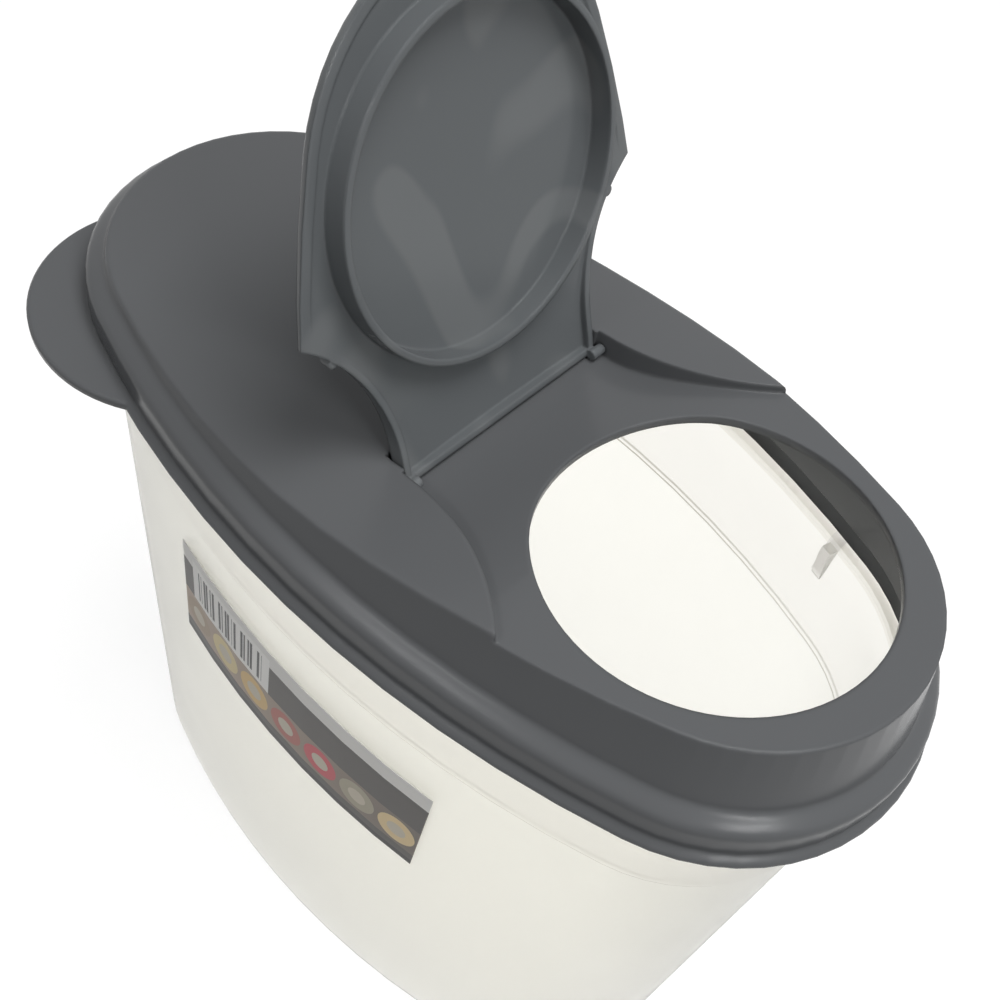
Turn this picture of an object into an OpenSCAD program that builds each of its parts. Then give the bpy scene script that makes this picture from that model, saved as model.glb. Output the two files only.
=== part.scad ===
// Oval cereal container: a clear tub, a lid with a pour hole, and a cap that flips open on two side pins.
// The spout end points along +X, the labelled side faces -Y, and the tub stands on the plane z = 0.
// Every outline is one four-arc oval, moved inward by an inset that is measured from the lid's edge.

/* [Oval outline] */
// Length of the lid over its lip
lid_l = 198; // [180:1:220]
// Width of the lid over its lip
lid_w = 104; // [98:1:110]
// Radius of the two rounded ends
end_r = 43; // [40:0.5:46]

/* [Tub] */
// Height of the tub up to the top of its rim
tub_h = 184; // [140:1:230]
// Thickness of the tub's wall
tub_wall = 1.8; // [1.4:0.1:2.4]
// Inset of the wall just under the rim
wall_in = 5.6; // [5.2:0.1:6.4]
// How far the wall draws in from the rim down to the base
wall_taper = 4.2; // [2:0.1:8]
// Radius of the rounded bottom edge
foot_r = 9.5; // [6:0.5:14]
// Thickness of the tub's floor
floor_t = 2.2; // [1.6:0.1:3]
// Depth of the hollow under the floor, inside the standing ring
foot_hollow = 0.8; // [0.4:0.1:1.2]
// Width of the standing ring
foot_w = 6; // [4:0.5:9]
// Thickness of the outward rim
rim_t = 1.7; // [1.2:0.1:2.4]
// Depth of the thick band below the rim, down to the fine step line
band_h = 27.5; // [20:0.5:40]
// Depth of the fine step in the wall
band_step = 0.4; // [0.2:0.1:0.6]
// Direction from the tub's middle line in which the wall at a stacking rib faces
rib_a = 73.5; // [72:0.5:80]
// Height of a stacking rib
rib_h = 10; // [6:0.5:16]
// Thickness of a stacking rib
rib_t = 2.4; // [1.6:0.1:4]
// How far a stacking rib stands out at its top
rib_out = 2.2; // [1.4:0.1:3]

/* [Lid] */
// How far the lid reaches down over the tub's rim
rim_cover = 2.5; // [2:0.1:4]
// Thickness of the lid's walls and deck
lid_t = 1.8; // [1.4:0.1:2.2]
// How far the lip bead stands out from the skirt
bead_out = 1.6; // [1:0.1:2.2]
// Height of the lip bead
bead_h = 2.3; // [2.1:0.1:3.4]
// Height of the rounded shoulder's edge above the lip
shoulder_h = 9.3; // [8:0.1:11]
// Inset of the foot of the upper wall
upper_in = 5.5; // [5:0.1:6.5]
// Height of the foot of the upper wall above the lip
upper_h = 11.1; // [10.6:0.1:12.5]
// Lean of the upper wall, inward for each unit of height
upper_lean = 0.2; // [0.1:0.01:0.3]
// Height of the rear deck above the lip
deck_rear = 13.2; // [13:0.1:15]
// Height of the crown of the deck and cap across the middle
crown = 1.5; // [0.8:0.1:2.4]
// Clear gap between the lid and the tub's rim
lid_gap = 0.3; // [0.2:0.05:0.5]

/* [Spout deck] */
// Height of the spout deck above the lip, at the middle of the lid
spout_z = 18.6; // [17:0.1:20]
// Slope of the spout deck
spout_slope = 5.25; // [3:0.25:7]
// Depth of the dip in the spout deck at the hinge
dip = 4.9; // [4.6:0.1:5.4]
// Length of the dip from the hinge forward
dip_l = 31; // [24:1:36]
// Radius of the pour hole
hole_r = 32.3; // [26:0.1:34]
// Position of the pour hole along the lid
hole_x = 50.3; // [48:0.1:54]
// Half the width of the recess at the hinge
recess_half = 27; // [26.5:0.5:29]
// Radius of the curved steps beside the cap
flank_r = 47; // [44:1:52]

/* [Flip cap] */
// Position of the hinge axis along the lid
hinge_x = 2.8; // [2.4:0.1:3.2]
// Depth of the hinge axis below the crown of the deck
hinge_drop = 4.5; // [4.4:0.05:4.6]
// Room behind the hinge axis up to the deck's step
hinge_room = 6.4; // [6.3:0.1:7.5]
// Radius of the hinge pins
pin_r = 1.1; // [0.9:0.05:1.15]
// How far a hinge pin reaches into the lid's wall
pin_l = 1.6; // [1.2:0.1:1.7]
// Clearance of a pin in its socket, all round
pin_gap = 0.06; // [0.02:0.01:0.1]
// Height of the cap above the spout deck at its edge
cap_h = 2.3; // [2:0.1:3]
// Thickness of the cap's top
cap_t = 1.7; // [1.4:0.1:1.9]
// Thickness of the cap's skirt
cap_skirt = 1.4; // [1.2:0.1:1.8]
// How far the cap's outer face lies inside the lid's upper wall
cap_trim = 0.6; // [0.3:0.1:1]
// Half the width of the cap at the hinge
cap_half = 25.8; // [24.8:0.1:26.4]
// Radius of the cap's curved sides
cap_flank_r = 35; // [33:1:40]
// Where the cap's sides start to curve, ahead of the hinge
cap_flank_x = 6.5; // [4:0.5:8]
// Gap beside the cap behind its pins
pocket_gap = 0.45; // [0.3:0.05:0.8]
// Distance of the catch nubs ahead of the hinge
nub_x = 29.5; // [26:0.5:31]
// Radius of the catch nubs on the cap's sides
nub_r = 1.1; // [0.8:0.1:1.3]
// Height of the catch nubs
nub_h = 2.2; // [1.6:0.1:3]
// Gap between the cap's skirt and the spout deck
cap_lift = 0.3; // [0.25:0.05:0.5]
// Depth of the dip in the skirt's lower edge at the hinge
cap_dip = 2.8; // [2.4:0.1:3]
// Outer radius of the plug ring
plug_r = 31.8; // [25:0.1:31.9]
// Thickness of the plug ring
plug_t = 1.3; // [1.1:0.1:2]
// How far the plug ring reaches below the top of the spout deck
plug_drop = 3.8; // [3:0.1:4.5]
// How far the cap opens, the stop at which it is drawn
open_a = 102; // [96:1:102]

/* [Pull tab] */
// Centre of the pull tab's round edge, along the lid
tab_x = -68; // [-71:0.5:-64]
// Centre of the pull tab's round edge, across the lid
tab_y = -21.5; // [-23:0.5:-18]
// Radius of the pull tab
tab_r = 28.6; // [27:0.1:29.4]
// Thickness of the pull tab
tab_t = 1.8; // [1.4:0.1:2.2]

/* [Label] */
// Width of the label
label_w = 78; // [50:1:82]
// Height of the label
label_h = 39; // [20:1:42]
// Distance of the label's middle below the lid's lip
label_drop = 58.8; // [52:0.2:70]
// Position of the label's middle along the tub
label_x = -5.4; // [-10:0.2:10]
// Tilt of the label, down toward the spout end
label_tilt = 2.8; // [0:0.2:4]
// Thickness of the label
label_t = 0.2; // [0.15:0.05:0.3]

/* [Hidden] */
// Steps along a quarter of the oval: on the round end and on the long side
end_n = 11;
side_n = 6;
bore_fn = 96;
// Heights and radii that follow from the sizes above
half_l = lid_l / 2;
half_w = lid_w / 2;
end_c = half_l - end_r;
side_r = (end_c * end_c + half_w * half_w - end_r * end_r) / (2 * (half_w - end_r));
side_c = side_r - half_w;
join_a = atan2(side_c, end_c);
lip_z = tub_h - rim_cover;
spout_k = tan(spout_slope);
skirt_in = bead_out + lid_t;
seat_in = skirt_in + 1.4;
rim_in = skirt_in + lid_gap;
rim_inner = wall_in + tub_wall;
// Where the deck starts to rise and where it reaches the cap's line
rise_a = -70;
rise_b = 50;
wall_x = hinge_x - hinge_room;
hinge_z = deck_z(hinge_x) + crown - hinge_drop;
// How far the cap reaches behind its axis
cap_rear = 0.5;
// Larger than the whole part, for cutting shapes
far = 400;
// Where the curved sides of the cap are, ahead of the hinge by d
function cap_side(d) =
  cap_half + cap_flank_r - sqrt(cap_flank_r * cap_flank_r - pow(max(0, d - cap_flank_x), 2));

// The directions in which the outline's points face, all the way round
quarter = concat(
  [for (i = [0 : end_n - 1]) join_a * i / end_n],
  [for (i = [0 : side_n - 1]) join_a + (90 - join_a) * i / side_n]);
quarter_n = end_n + side_n;
facing = concat(
  quarter, [90], [for (i = [quarter_n - 1 : -1 : 1]) 180 - quarter[i]],
  [for (a = quarter) 180 + a], [270], [for (i = [quarter_n - 1 : -1 : 1]) 360 - quarter[i]]);
ring_n = len(facing);

// The point of the oval that faces direction a, moved inward by inset
function oval_point(a, inset) =
  abs(cos(a)) >= cos(join_a) - 0.0001
    ? [sign(cos(a)) * end_c + (end_r - inset) * cos(a), (end_r - inset) * sin(a)]
    : [(side_r - inset) * cos(a), (side_r - inset) * sin(a) - sign(sin(a)) * side_c];

// A level ring of the oval
function level(inset, z) = [for (a = facing) concat(oval_point(a, inset), [z])];

function smooth(t) = let (u = min(1, max(0, t))) u * u * (3 - 2 * u);

// Heights above the lip: the spout deck's plane, its dipped floor, and the edge of the deck and cap
function spout_plane(x) = spout_z + spout_k * x;
function spout_floor(x, depth) = spout_plane(x) - depth * (1 - smooth((x - hinge_x) / dip_l));
function deck_z(x) =
  deck_rear + (spout_plane(x) + cap_h - deck_rear) * smooth((x - rise_a) / (rise_b - rise_a));

// The inset of the leaning upper wall at height z
function upper_inset(z) = upper_in + upper_lean * (z - upper_h);

// A ring along the deck's edge: shrink moves it inward and drop moves it down
function deck_ring(shrink, drop) =
  [for (a = facing)
    let (guess = oval_point(a, upper_in + 2), z = deck_z(guess[0]), p = oval_point(a, upper_inset(z) + shrink))
    concat(p, [deck_z(p[0]) - drop])];

// A ring inside the deck, at a share of the way out from the middle, raised by the crown
function crown_ring(ring, share, drop) =
  [for (p = ring) [p[0] * share, p[1] * share, deck_z(p[0] * share) + crown * (1 - share * share) - drop]];

// The closed skin over a stack of rings, with a flat bottom and a flat top or a peak
module loft(rings, peak = undef) {
  flat_top = is_undef(peak);
  n = ring_n;
  last = (len(rings) - 1) * n;
  points = concat([for (r = rings) each r], flat_top ? [] : [peak]);
  sides = [for (j = [0 : len(rings) - 2]) for (i = [0 : n - 1])
    let (k = (i + 1) % n, a = j * n + i, b = j * n + k, c = (j + 1) * n + k, d = (j + 1) * n + i)
    each [[a, d, c], [a, c, b]]];
  top = flat_top
    ? [[for (i = [n - 1 : -1 : 0]) last + i]]
    : [for (i = [0 : n - 1]) [last + i, last + n, last + (i + 1) % n]];
  polyhedron(points, concat([[for (i = [0 : n - 1]) i]], sides, top));
}

// The tub's wall leans in by the taper between the fine step line and the base
function wall_inset(z) =
  wall_in + band_step + wall_taper * (tub_h - band_h - z) / (tub_h - band_h - foot_r);

// The rounded bottom edge, from the standing ring up to the wall
function foot_rings(r, inset, z0) =
  [for (a = [0 : 18 : 90]) level(inset + r * (1 - sin(a)), z0 + r * (1 - cos(a)))];

module tub_shell() {
  base_in = wall_inset(foot_r);
  line_z = tub_h - band_h;
  flat_in = base_in + foot_r;
  loft(concat(
    [level(flat_in + foot_w, foot_hollow), level(flat_in + foot_w - foot_hollow, 0)],
    foot_rings(foot_r, base_in, 0),
    [level(wall_inset(line_z), line_z),
     level(wall_in + 0.25, line_z + band_step),
     level(wall_in, lip_z - 8),
     level(wall_in - 0.7, lip_z - 3.5),
     level(rim_in + 0.5, tub_h - rim_t - 0.4),
     level(rim_in, tub_h - rim_t),
     level(rim_in, tub_h - 0.4),
     level(rim_in + 0.4, tub_h),
     level(rim_inner - 0.5, tub_h),
     level(rim_inner, tub_h - 0.5),
     level(rim_inner, lip_z - 8),
     level(wall_inset(line_z) + tub_wall, line_z - 4)],
    [for (a = [90 : -22.5 : 0])
      let (r = foot_r - tub_wall)
      level(base_in + tub_wall + r * (1 - sin(a)), foot_hollow + floor_t + r * (1 - cos(a)))]));
}

// A wedge on the inside of the wall, where the wall faces direction a
module stacking_rib(a) {
  p = oval_point(a, rim_inner);
  translate([p[0], p[1], tub_h - 0.6])
    rotate([90, 0, a + 180])
      linear_extrude(rib_t, center = true)
        polygon([[-0.9, 0], [rib_out, 0], [rib_out, -2], [0.5, -rib_h], [-0.9, -rib_h]]);
}

module tub() {
  color([0.93, 0.92, 0.87, 0.6])
    union() {
      tub_shell();
      for (a = [rib_a, 180 - rib_a, 180 + rib_a, 360 - rib_a])
        stacking_rib(a);
    }
}

// The lid's outside, closed over the whole deck as if the cap were part of it; trim moves the wall inward
module lid_outside(trim) {
  edge = deck_ring(0.9 + trim, 0);
  translate([0, 0, lip_z])
    loft(concat(
      [level(0.3, 0),
       level(0, 0.5),
       level(0, bead_h - 1.4),
       level(0.3, bead_h - 0.8),
       level(bead_out, bead_h),
       level(bead_out, shoulder_h - 1.9),
       level(bead_out + 0.25, shoulder_h - 0.8),
       level(bead_out + 1, shoulder_h),
       level(upper_in - 1.3, upper_h - 0.9),
       level(upper_in - 0.4, upper_h - 0.4),
       level(upper_in, upper_h + 0.2),
       deck_ring(trim - 0.2, 0.9),
       deck_ring(trim + 0.15, 0.25),
       edge],
      [for (share = [0.84, 0.6, 0.32]) crown_ring(edge, share, 0)]),
      [0, 0, deck_z(0) + crown]);
}

// The space inside the lid, with walls of thickness t left above it
module lid_inside(t) {
  edge = deck_ring(t + 0.7, t);
  translate([0, 0, lip_z])
    loft(concat(
      [level(skirt_in, -1),
       level(skirt_in, rim_cover),
       level(seat_in, rim_cover),
       level(seat_in, shoulder_h - 2.7),
       level(seat_in + 0.5, shoulder_h - 1.4),
       level(upper_in + t - 0.6, upper_h - t - 0.7),
       level(upper_in + t, upper_h - t + 0.1),
       deck_ring(t - 0.1, t + 0.7),
       edge],
      [for (share = [0.84, 0.6, 0.32]) crown_ring(edge, share, t)]),
      [0, 0, deck_z(0) + crown - t]);
}

// A plan with a straight rear edge and two sides that widen toward the spout in arcs from start_x on
module flared_plan(half, arc_r, rear_x, start_x) {
  difference() {
    translate([rear_x, -half_l])
      square([far, lid_l]);
    for (s = [-1, 1]) {
      translate([start_x, s * (half + arc_r)])
        circle(arc_r, $fn = 2 * bore_fn);
      translate([rear_x - 1, s > 0 ? half : -half - far])
        square([start_x - rear_x + 1, far]);
    }
  }
}

// Everything above the spout deck's curve with a dip of the given depth, raised by lift
module above_floor(depth, lift) {
  steps = [for (i = [0 : 10]) hinge_x + dip_l * i / 10];
  translate([0, half_l, lip_z])
    rotate([90, 0, 0])
      linear_extrude(lid_l)
        polygon(concat(
          [[-far, spout_floor(hinge_x - far, depth) + lift]],
          [for (x = steps) [x, spout_floor(x, depth) + lift]],
          [[far, spout_plane(far) + lift], [far, far], [-far, far]]));
}

// The recess for the cap, grown by grow on every side. Behind the pins it is only as wide as the cap
module recess(grow) {
  pocket_half = cap_half + pocket_gap + grow;
  pocket_end = hinge_x - pin_r - pin_gap - 0.4 - grow;
  intersection() {
    translate([0, 0, lip_z])
      linear_extrude(far / 4)
        difference() {
          flared_plan(recess_half + grow, flank_r - grow, wall_x - grow, hinge_x);
          for (s = [-1, 1])
            translate([wall_x - far, s > 0 ? pocket_half : -pocket_half - far])
              square([pocket_end - wall_x + far, far]);
        }
    above_floor(dip, -grow);
  }
}

// Moves a shape to the middle of the pour hole, square to the spout deck
module at_hole() {
  translate([hole_x, 0, lip_z + spout_plane(hole_x)])
    rotate([0, -spout_slope, 0])
      children();
}

module pull_tab() {
  difference() {
    translate([tab_x, tab_y, lip_z + 0.15])
      union() {
        cylinder(h = tab_t - 0.5, r = tab_r, $fn = bore_fn);
        translate([0, 0, tab_t - 0.5])
          cylinder(h = 0.5, r1 = tab_r, r2 = tab_r - 0.5, $fn = bore_fn);
      }
    translate([0, 0, lip_z - 1])
      linear_extrude(tab_t + 2)
        polygon([for (a = facing) oval_point(a, bead_out)]);
  }
}

module lid() {
  color([0.39, 0.4, 0.41])
    difference() {
      union() {
        difference() {
          lid_outside(0);
          recess(0);
          difference() {
            lid_inside(lid_t);
            recess(lid_t);
          }
        }
        pull_tab();
      }
      at_hole()
        translate([0, 0, -lid_t - 4])
          cylinder(h = lid_t + 8, r = hole_r, $fn = bore_fn);
      for (s = [-1, 1])
        translate([hinge_x, s * (recess_half - 1), lip_z + hinge_z])
          rotate([-90 * s, 0, 0])
            cylinder(h = lid_t + 1.3, r = pin_r + pin_gap, $fn = 48);
    }
}

module plug_ring() {
  at_hole()
    translate([0, 0, -plug_drop])
      difference() {
        cylinder(h = plug_drop + cap_h - 0.6, r = plug_r, $fn = bore_fn);
        translate([0, 0, -1])
          cylinder(h = plug_drop + cap_h + 2, r = plug_r - plug_t, $fn = bore_fn);
      }
}

module cap_body() {
  difference() {
    intersection() {
      lid_outside(cap_trim);
      translate([0, 0, lip_z])
        linear_extrude(far / 4)
          flared_plan(cap_half, cap_flank_r, hinge_x - cap_rear, hinge_x + cap_flank_x);
      above_floor(cap_dip, cap_lift);
    }
    intersection() {
      lid_inside(cap_t);
      translate([0, 0, lip_z])
        linear_extrude(far / 4)
          flared_plan(
            cap_half - cap_skirt, cap_flank_r + cap_skirt,
            hinge_x - cap_rear + cap_skirt, hinge_x + cap_flank_x);
    }
  }
}

// At each end of the hinge: a web under the skirt's corner, with the pin that turns in the lid's wall
module hinge_pins() {
  root = cap_half - 2;
  web_h = hinge_drop - 2.9;
  for (s = [-1, 1]) {
    translate([hinge_x, s * root, lip_z + hinge_z])
      rotate([-90 * s, 0, 0])
        cylinder(h = recess_half + pin_l - root, r = pin_r, $fn = 48);
    translate([hinge_x - 0.8, s > 0 ? root : -root - 1.8, lip_z + hinge_z])
      cube([1.7, 1.8, web_h]);
  }
}

// A half-round nub on each side of the cap, at the skirt's lower edge, that catches in the recess
module catch_nubs() {
  for (s = [-1, 1])
    translate([hinge_x + nub_x, s * cap_side(nub_x), lip_z + spout_floor(hinge_x + nub_x + nub_r, cap_dip) + cap_lift])
      cylinder(h = nub_h, r = nub_r, $fn = 24);
}

module flip_cap() {
  color([0.4, 0.42, 0.43])
    translate([hinge_x, 0, lip_z + hinge_z])
      rotate([0, -open_a, 0])
        translate([-hinge_x, 0, -lip_z - hinge_z])
          union() {
            cap_body();
            plug_ring();
            hinge_pins();
            catch_nubs();
          }
}

// A thin sheet that follows the tub's wall, cut to the label's edges
module label() {
  mid_z = lip_z - label_drop;
  off = 0.05;
  color([0.3, 0.29, 0.27])
    intersection() {
      difference() {
        label_skin(off + label_t);
        label_skin(off);
      }
      translate([label_x, 0, mid_z])
        rotate([0, label_tilt, 0])
          translate([-label_w / 2, -half_w, -label_h / 2])
            cube([label_w, half_w, label_h]);
    }
}

module label_skin(out) {
  low = lip_z - label_drop - label_h;
  high = tub_h - band_h - 0.5;
  loft([level(wall_inset(low) - out, low), level(wall_inset(high) - out, high)]);
}

tub();
lid();
flip_cap();
label();
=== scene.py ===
# %% [markdown]
# # An oval cereal container with a flip cap
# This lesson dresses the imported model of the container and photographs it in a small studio.
# The model brings four nodes: the tub, the lid, the flip cap and the label.
# We give each one a material, then set up a floor, soft lights and the camera.

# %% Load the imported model
import math
import bpy
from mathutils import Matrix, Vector

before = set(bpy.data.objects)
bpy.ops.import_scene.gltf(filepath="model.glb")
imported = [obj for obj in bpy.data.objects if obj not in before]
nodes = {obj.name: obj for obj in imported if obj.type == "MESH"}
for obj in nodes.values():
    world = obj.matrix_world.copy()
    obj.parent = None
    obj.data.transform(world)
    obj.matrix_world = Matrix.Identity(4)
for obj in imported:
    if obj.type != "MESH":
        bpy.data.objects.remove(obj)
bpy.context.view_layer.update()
print("nodes:", sorted(nodes))

# %% [markdown]
# The model is made of flat facets. Moulded plastic is smooth, so each corner of a facet gets the
# average direction of its neighbours that turn by less than a set angle. Sharper edges stay crisp.

# %% Smooth the shading


def soften(obj, limit):
    mesh = obj.data
    cos_limit = math.cos(math.radians(limit))
    around = {}
    for poly in mesh.polygons:
        for v in poly.vertices:
            key = tuple(round(c * 1e5) for c in mesh.vertices[v].co)
            around.setdefault(key, []).append((poly.normal.copy(), poly.area))
    normals = []
    for poly in mesh.polygons:
        for v in poly.vertices:
            key = tuple(round(c * 1e5) for c in mesh.vertices[v].co)
            total = Vector((0, 0, 0))
            for n, area in around[key]:
                if n.dot(poly.normal) > cos_limit:
                    total += n * area
            normals.append(total.normalized() if total.length > 0 else poly.normal.copy())
    mesh.polygons.foreach_set("use_smooth", [True] * len(mesh.polygons))
    mesh.normals_split_custom_set(normals)
    mesh.update()
    return len(mesh.polygons)


for name, obj in nodes.items():
    print(name, "facets smoothed:", soften(obj, 32))

# %% [markdown]
# Materials are small node trees. This helper makes a plastic with a fine grain in its gloss. It can
# also round the shading at edges, so that they catch a thin line of light as moulded edges do.

# %% A helper for plastics


def plastic(name, colour, rough, spread=0.0, scale=400.0, edge=0.0):
    mat = bpy.data.materials.new(name)
    mat.use_nodes = True
    tree = mat.node_tree
    shader = tree.nodes["Principled BSDF"]
    shader.inputs["Base Color"].default_value = (*colour, 1)
    shader.inputs["Roughness"].default_value = rough
    if spread > 0:
        place = tree.nodes.new("ShaderNodeTexCoord")
        noise = tree.nodes.new("ShaderNodeTexNoise")
        noise.inputs["Scale"].default_value = scale
        span = tree.nodes.new("ShaderNodeMapRange")
        span.inputs["To Min"].default_value = rough - spread
        span.inputs["To Max"].default_value = rough + spread
        tree.links.new(place.outputs["Object"], noise.inputs["Vector"])
        tree.links.new(noise.outputs["Fac"], span.inputs["Value"])
        tree.links.new(span.outputs["Result"], shader.inputs["Roughness"])
    if edge > 0:
        bevel = tree.nodes.new("ShaderNodeBevel")
        bevel.samples = 6
        bevel.inputs["Radius"].default_value = edge
        tree.links.new(bevel.outputs["Normal"], shader.inputs["Normal"])
    return mat, shader


def dress(node, mat):
    obj = nodes[node]
    obj.data.materials.clear()
    obj.data.materials.append(mat)
    print(node, "wears", mat.name)


# %% [markdown]
# Patterns are drawn with numbers: sums, products and tests on the position of each point. These
# tools keep that short.

# %% Small tools for drawing with numbers


def number(tree, how, a, b=0.0):
    node = tree.nodes.new("ShaderNodeMath")
    node.operation = how
    for socket, value in zip(node.inputs, (a, b)):
        if isinstance(value, (int, float)):
            socket.default_value = value
        else:
            tree.links.new(value, socket)
    return node.outputs[0]


def along(tree, point, direction, middle, length):
    node = tree.nodes.new("ShaderNodeVectorMath")
    node.operation = "DOT_PRODUCT"
    tree.links.new(point, node.inputs[0])
    node.inputs[1].default_value = direction
    start = sum(a * b for a, b in zip(direction, middle)) - length / 2
    return number(tree, "DIVIDE", number(tree, "SUBTRACT", node.outputs["Value"], start), length)


def between(tree, value, low_end, high_end):
    above = number(tree, "GREATER_THAN", value, low_end)
    below = number(tree, "LESS_THAN", value, high_end)
    return number(tree, "MULTIPLY", above, below)


def paint(tree, under, mask, colour):
    node = tree.nodes.new("ShaderNodeMix")
    node.data_type = "RGBA"
    tree.links.new(mask, node.inputs["Factor"])
    for socket, value in ((node.inputs[6], under), (node.inputs[7], colour)):
        if isinstance(value, tuple):
            socket.default_value = (*value, 1)
        else:
            tree.links.new(value, socket)
    return node.outputs[2]


# %% [markdown]
# The tub is milky translucent plastic: most light passes through, the rest scatters inside. It is
# tinted a little where it is thicker, at the ribs and on the rim's top. The band under the rim gets
# painted shade for the lid's shadow, and a thin dark line of painted shade runs along the modelled
# step.
# A soft cloud keeps the tone from being flat.

# %% The tub
CLEAR = (1.0, 0.99, 0.935)
BAND_SHADE_TINT = (0.955, 0.94, 0.89)
STEP_SHADE_TINT = (0.3, 0.28, 0.23)
RIM_TINT = (0.74, 0.71, 0.63)
RIB_TINT = (0.5, 0.48, 0.44)
CLOUD_TINT = (0.93, 0.92, 0.875)
STEP_LINE = 0.1567
LINE_BELOW = 0.0003
LINE_ABOVE = 0.0002
RIM_TOP = 0.1826
RIB = (0.0606, 0.0352)
RIB_HALF = (0.0015, 0.004)
RIB_FOOT = 0.1735
milky, shader = plastic("milky_plastic", CLEAR, 0.32, 0.02, 60)
shader.inputs["Transmission Weight"].default_value = 0.985
shader.inputs["IOR"].default_value = 1.27
tree = milky.node_tree
place = tree.nodes.new("ShaderNodeTexCoord").outputs["Object"]
split = tree.nodes.new("ShaderNodeSeparateXYZ")
tree.links.new(place, split.inputs[0])
x, y, z = split.outputs
# Painted shade: the band above the step line, under the lid, is tinted darker.
colour = paint(tree, CLEAR, number(tree, "GREATER_THAN", z, STEP_LINE), BAND_SHADE_TINT)
# Painted shade: a thin dark line along the step, standing in for the shading of the modelled step.
step_shade = between(tree, z, STEP_LINE - LINE_BELOW, STEP_LINE + LINE_ABOVE)
colour = paint(tree, colour, step_shade, STEP_SHADE_TINT)
colour = paint(tree, colour, number(tree, "GREATER_THAN", z, RIM_TOP), RIM_TINT)
off_x = number(tree, "SUBTRACT", number(tree, "ABSOLUTE", x), RIB[0])
off_y = number(tree, "SUBTRACT", number(tree, "ABSOLUTE", y), RIB[1])
wide = between(tree, off_x, -RIB_HALF[0], RIB_HALF[0])
deep = between(tree, off_y, -RIB_HALF[1], RIB_HALF[1])
rib = number(tree, "MULTIPLY", wide, deep)
rib = number(tree, "MULTIPLY", rib, number(tree, "GREATER_THAN", z, RIB_FOOT))
colour = paint(tree, colour, rib, RIB_TINT)
cloud = tree.nodes.new("ShaderNodeTexNoise")
cloud.inputs["Scale"].default_value = 11
cloud.inputs["Detail"].default_value = 0
tree.links.new(place, cloud.inputs["Vector"])
fade = tree.nodes.new("ShaderNodeMapRange")
fade.inputs["From Min"].default_value = 0.2
fade.inputs["From Max"].default_value = 0.8
fade.inputs["To Max"].default_value = 0.45
tree.links.new(cloud.outputs["Fac"], fade.inputs["Value"])
colour = paint(tree, colour, fade.outputs["Result"], CLOUD_TINT)
tree.links.new(colour, shader.inputs["Base Color"])
dress("tub", milky)

# %% [markdown]
# The lid and the cap are moulded in the same grey, and the cap's grey is made a little lighter as
# painted light. The cap is glossier, its broad faces are a little wavy, and lighter patches on it are
# painted reflections. The gloss is kept low, because it mirrors the white surrounding.

# %% The lid and the cap
GLOSS = 0.14
LID_GREY = (0.086, 0.089, 0.093)
# Painted light: the cap's grey is a little lighter than the lid's, though both are the same plastic.
CAP_LIT_GREY = (0.1, 0.107, 0.112)
PAINTED_REFLECTION_GREY = (0.125, 0.132, 0.136)
grey, shader = plastic("grey_satin", LID_GREY, 0.24, 0.03, 500, 0.0011)
shader.inputs["Specular IOR Level"].default_value = GLOSS
dress("lid", grey)
grey_gloss, shader = plastic("grey_gloss", CAP_LIT_GREY, 0.2, 0.03, 500, 0.0008)
shader.inputs["Specular IOR Level"].default_value = GLOSS
tree = grey_gloss.node_tree
wave = tree.nodes.new("ShaderNodeTexNoise")
wave.inputs["Scale"].default_value = 28
wave.inputs["Detail"].default_value = 0
bump = tree.nodes.new("ShaderNodeBump")
bump.inputs["Distance"].default_value = 0.0015
bump.inputs["Strength"].default_value = 0.6
tree.links.new(tree.nodes.new("ShaderNodeTexCoord").outputs["Object"], wave.inputs["Vector"])
tree.links.new(wave.outputs["Fac"], bump.inputs["Height"])
tree.links.new(shader.inputs["Normal"].links[0].from_socket, bump.inputs["Normal"])
tree.links.new(bump.outputs["Normal"], shader.inputs["Normal"])
# Painted reflection: lighter patches of grey stand in for bright streaks mirrored in the cap.
reflection_noise = tree.nodes.new("ShaderNodeTexNoise")
reflection_noise.inputs["Scale"].default_value = 34
reflection_noise.inputs["Detail"].default_value = 0
reflection_noise.inputs["Distortion"].default_value = 1.2
tree.links.new(wave.inputs["Vector"].links[0].from_socket, reflection_noise.inputs["Vector"])
reflection_patches = tree.nodes.new("ShaderNodeMapRange")
reflection_patches.interpolation_type = "SMOOTHSTEP"
reflection_patches.inputs["From Min"].default_value = 0.5
reflection_patches.inputs["From Max"].default_value = 0.6
tree.links.new(reflection_noise.outputs["Fac"], reflection_patches.inputs["Value"])
colour = paint(tree, CAP_LIT_GREY, reflection_patches.outputs["Result"], PAINTED_REFLECTION_GREY)
tree.links.new(colour, shader.inputs["Base Color"])
dress("flip_cap", grey_gloss)

# %% [markdown]
# The label is a printed sticker. Its print is made of simple shapes: a dark ground, a white block of
# bars at the left, a row of round chips low down and a pale strip along the top. Two coordinates run
# over it, u along and v up.

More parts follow.
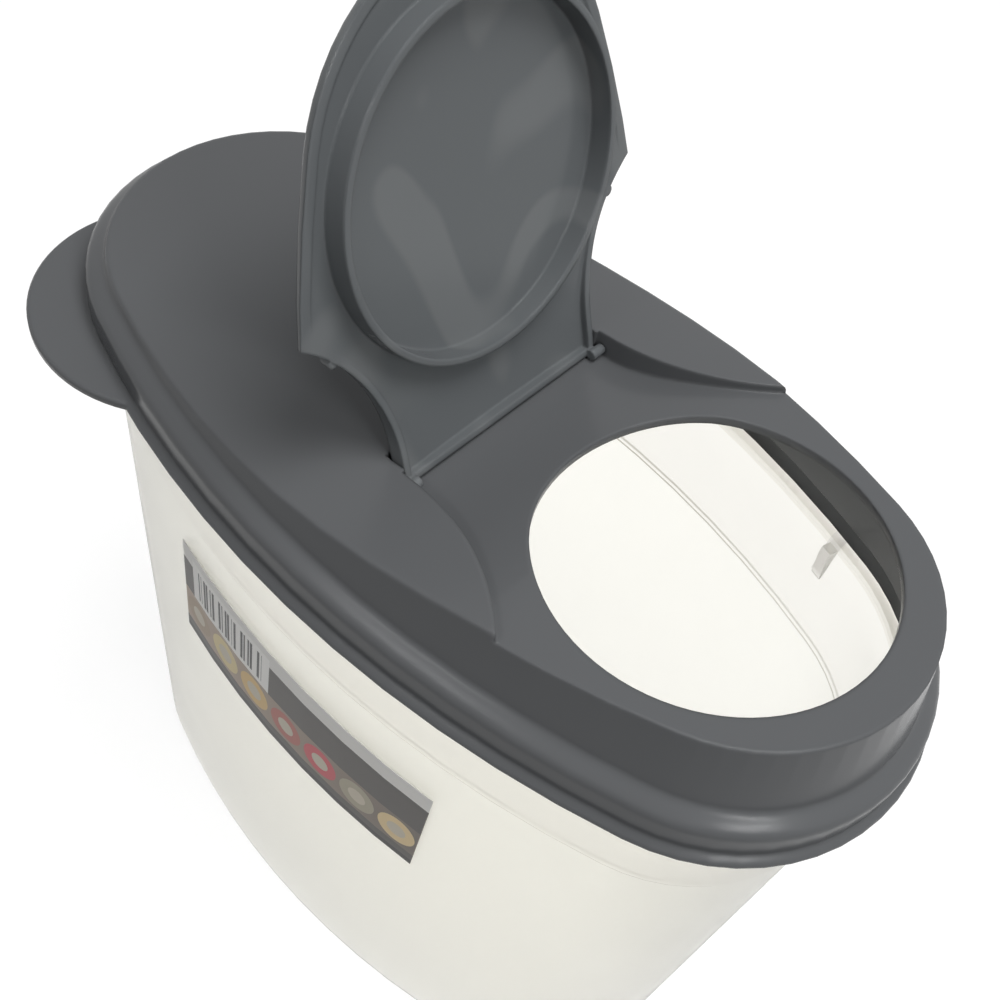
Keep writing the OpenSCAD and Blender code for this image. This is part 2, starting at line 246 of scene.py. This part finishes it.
# %% The label
LABEL_MIDDLE = (-0.0054, -0.045, 0.1227)
LABEL_TILT = math.radians(2.8)
LABEL_W = 0.078
LABEL_H = 0.039
INK = (0.085, 0.078, 0.07)
HAZE = (0.44, 0.34, 0.26)
FOOT_INK = (0.03, 0.027, 0.024)
CHIP_HEART = (0.62, 0.56, 0.45)
STRIP_WHITE = (0.8, 0.79, 0.76)
BLOCK_WHITE = (0.92, 0.91, 0.88)
BAR_INK = (0.04, 0.04, 0.04)
FOOT_END = 0.06
HAZE_SPAN = (0.14, 0.5)
ROW_MIDDLE = 0.32
ROW_SQUASH = 3.0
CHIP_REACH = 0.2
HEART_REACH = 0.05
STRIP_START = 0.84
BLOCK_U = (0.05, 0.42)
BLOCK_V = (0.5, 0.92)
BARS_U = (0.08, 0.39)
BARS_V = (0.55, 0.87)
CHIPS = [(0.4, 0.3, 0.2), (0.75, 0.62, 0.32), (0.72, 0.5, 0.2), (0.45, 0.14, 0.11),
         (0.6, 0.09, 0.11), (0.42, 0.38, 0.28), (0.8, 0.62, 0.34)]
print_mat, shader = plastic("label_print", INK, 0.38)
shader.inputs["Specular IOR Level"].default_value = GLOSS
tree = print_mat.node_tree
place = tree.nodes.new("ShaderNodeTexCoord").outputs["Object"]
right = (math.cos(LABEL_TILT), 0, -math.sin(LABEL_TILT))
up = (math.sin(LABEL_TILT), 0, math.cos(LABEL_TILT))
u = along(tree, place, right, LABEL_MIDDLE, LABEL_W)
v = along(tree, place, up, LABEL_MIDDLE, LABEL_H)
haze = number(tree, "MULTIPLY", number(tree, "SUBTRACT", 1.2, u), between(tree, v, *HAZE_SPAN))
picture = paint(tree, INK, haze, HAZE)
picture = paint(tree, picture, number(tree, "LESS_THAN", v, FOOT_END), FOOT_INK)
cell = number(tree, "FRACT", number(tree, "MULTIPLY", u, len(CHIPS)))
side = number(tree, "SUBTRACT", cell, 0.5)
rise = number(tree, "MULTIPLY", number(tree, "SUBTRACT", v, ROW_MIDDLE), ROW_SQUASH)
reach = number(tree, "ADD", number(tree, "POWER", side, 2.0), number(tree, "POWER", rise, 2.0))
chips = number(tree, "LESS_THAN", reach, CHIP_REACH)
ramp = tree.nodes.new("ShaderNodeValToRGB")
ramp.color_ramp.interpolation = "CONSTANT"
while len(ramp.color_ramp.elements) < len(CHIPS):
    ramp.color_ramp.elements.new(0.5)
for i, (spot, colour) in enumerate(zip(ramp.color_ramp.elements, CHIPS)):
    spot.position = i / len(CHIPS)
    spot.color = (*colour, 1)
tree.links.new(u, ramp.inputs["Fac"])
picture = paint(tree, picture, chips, ramp.outputs["Color"])
picture = paint(tree, picture, number(tree, "LESS_THAN", reach, HEART_REACH), CHIP_HEART)
picture = paint(tree, picture, number(tree, "GREATER_THAN", v, STRIP_START), STRIP_WHITE)
block = number(tree, "MULTIPLY", between(tree, u, *BLOCK_U), between(tree, v, *BLOCK_V))
picture = paint(tree, picture, block, BLOCK_WHITE)
wave_a = number(tree, "SINE", number(tree, "MULTIPLY", u, 410.0))
wave_b = number(tree, "SINE", number(tree, "MULTIPLY", u, 173.0))
bars = number(tree, "GREATER_THAN", number(tree, "ADD", wave_a, wave_b), 0.15)
bars = number(tree, "MULTIPLY", bars, between(tree, u, *BARS_U))
bars = number(tree, "MULTIPLY", bars, between(tree, v, *BARS_V))
picture = paint(tree, picture, bars, BAR_INK)
tree.links.new(picture, shader.inputs["Base Color"])
dress("label", print_mat)

# %% [markdown]
# The studio is lit from above and from over the camera's shoulders, and its surrounding is dimmer
# low down. What the camera sees of it, directly, through the tub or mirrored in a gloss, is plain
# white. The floor keeps a faint shadow.

# %% A switch for what the camera sees


def seen_rays(tree):
    path = tree.nodes.new("ShaderNodeLightPath")
    seen = number(tree, "MAXIMUM", path.outputs["Is Camera Ray"], path.outputs["Is Transmission Ray"])
    return number(tree, "MAXIMUM", seen, path.outputs["Is Glossy Ray"])


def glow(tree, colour, strength):
    node = tree.nodes.new("ShaderNodeEmission")
    node.inputs["Color"].default_value = (*colour, 1)
    node.inputs["Strength"].default_value = strength
    return node.outputs[0]


def join(tree, kind, *sockets):
    node = tree.nodes.new(kind)
    for socket, value in zip(node.inputs, sockets):
        tree.links.new(value, socket)
    return node.outputs[0]


# %% The floor
bpy.ops.mesh.primitive_plane_add(size=6, location=(0, 0, 0))
floor = bpy.context.object
floor.name = "studio_floor"
floor_mat, shader = plastic("floor_white", (0.18, 0.18, 0.18), 0.8)
floor.data.materials.append(floor_mat)
tree = floor_mat.node_tree
white = glow(tree, (1, 1, 1), 0.85)
lit = join(tree, "ShaderNodeAddShader", shader.outputs[0], white)
shown = join(tree, "ShaderNodeMixShader", seen_rays(tree), shader.outputs[0], lit)
tree.links.new(shown, tree.nodes["Material Output"].inputs["Surface"])

# %% The surrounding
world = bpy.data.worlds.new("studio")
bpy.context.scene.world = world
world.use_nodes = True
tree = world.node_tree
toward = tree.nodes.new("ShaderNodeTexCoord").outputs["Generated"]
facing = tree.nodes.new("ShaderNodeVectorMath")
facing.operation = "DOT_PRODUCT"
facing.inputs[1].default_value = (0.5, 0.2, 0.84)
tree.links.new(toward, facing.inputs[0])
bright = tree.nodes.new("ShaderNodeMapRange")
bright.inputs["From Min"].default_value = -0.4
bright.inputs["From Max"].default_value = 1.0
bright.inputs["To Min"].default_value = 0.0
bright.inputs["To Max"].default_value = 0.52
tree.links.new(facing.outputs["Value"], bright.inputs["Value"])
level = tree.nodes.new("ShaderNodeMix")
level.data_type = "FLOAT"
tree.links.new(seen_rays(tree), level.inputs[0])
tree.links.new(bright.outputs["Result"], level.inputs[2])
level.inputs[3].default_value = 1.0
sky = tree.nodes["Background"]
sky.inputs["Color"].default_value = (1, 1, 1, 1)
tree.links.new(level.outputs[0], sky.inputs["Strength"])

# %% The lights


def softbox(name, place, aim, size, power):
    light = bpy.data.lights.new(name, "AREA")
    light.shape = "RECTANGLE"
    light.size, light.size_y = size
    light.energy = power
    obj = bpy.data.objects.new(name, light)
    bpy.context.scene.collection.objects.link(obj)
    obj.location = place
    obj.rotation_mode = "QUATERNION"
    obj.rotation_quaternion = (Vector(aim) - Vector(place)).to_track_quat("-Z", "Y")
    obj.visible_camera = False
    print(name, "at", place)
    return obj


softbox("top_light", (0.18, 0.06, 1.1), (0, 0, 0.15), (0.45, 0.45), 6.8)
softbox("left_light", (-0.13, -0.62, 0.85), (0, 0, 0.18), (0.32, 0.1), 1.2)
softbox("right_light", (0.72, -0.25, 0.82), (0.05, 0, 0.18), (0.26, 0.1), 2.9)

# %% [markdown]
# The camera stands close, up and to the right of the labelled side. A close camera makes
# the tub taper strongly towards its base, as in the photograph.

# %% The camera
data = bpy.data.cameras.new("camera")
camera = bpy.data.objects.new("camera", data)
bpy.context.scene.collection.objects.link(camera)
camera.location = (0.08685, -0.13369, 0.37819)
camera.rotation_euler = [math.radians(a) for a in (36.419, -9.579, 42.616)]
data.sensor_width = 36
data.lens = 46.196
data.shift_x = -0.01932
data.shift_y = 0.00079
data.clip_start = 0.01
bpy.context.scene.camera = camera
print("camera lens:", data.lens)

# %% [markdown]
# Colours go straight to the picture, with no film curve.

# %% Picture settings
bpy.context.scene.view_settings.view_transform = "Standard"
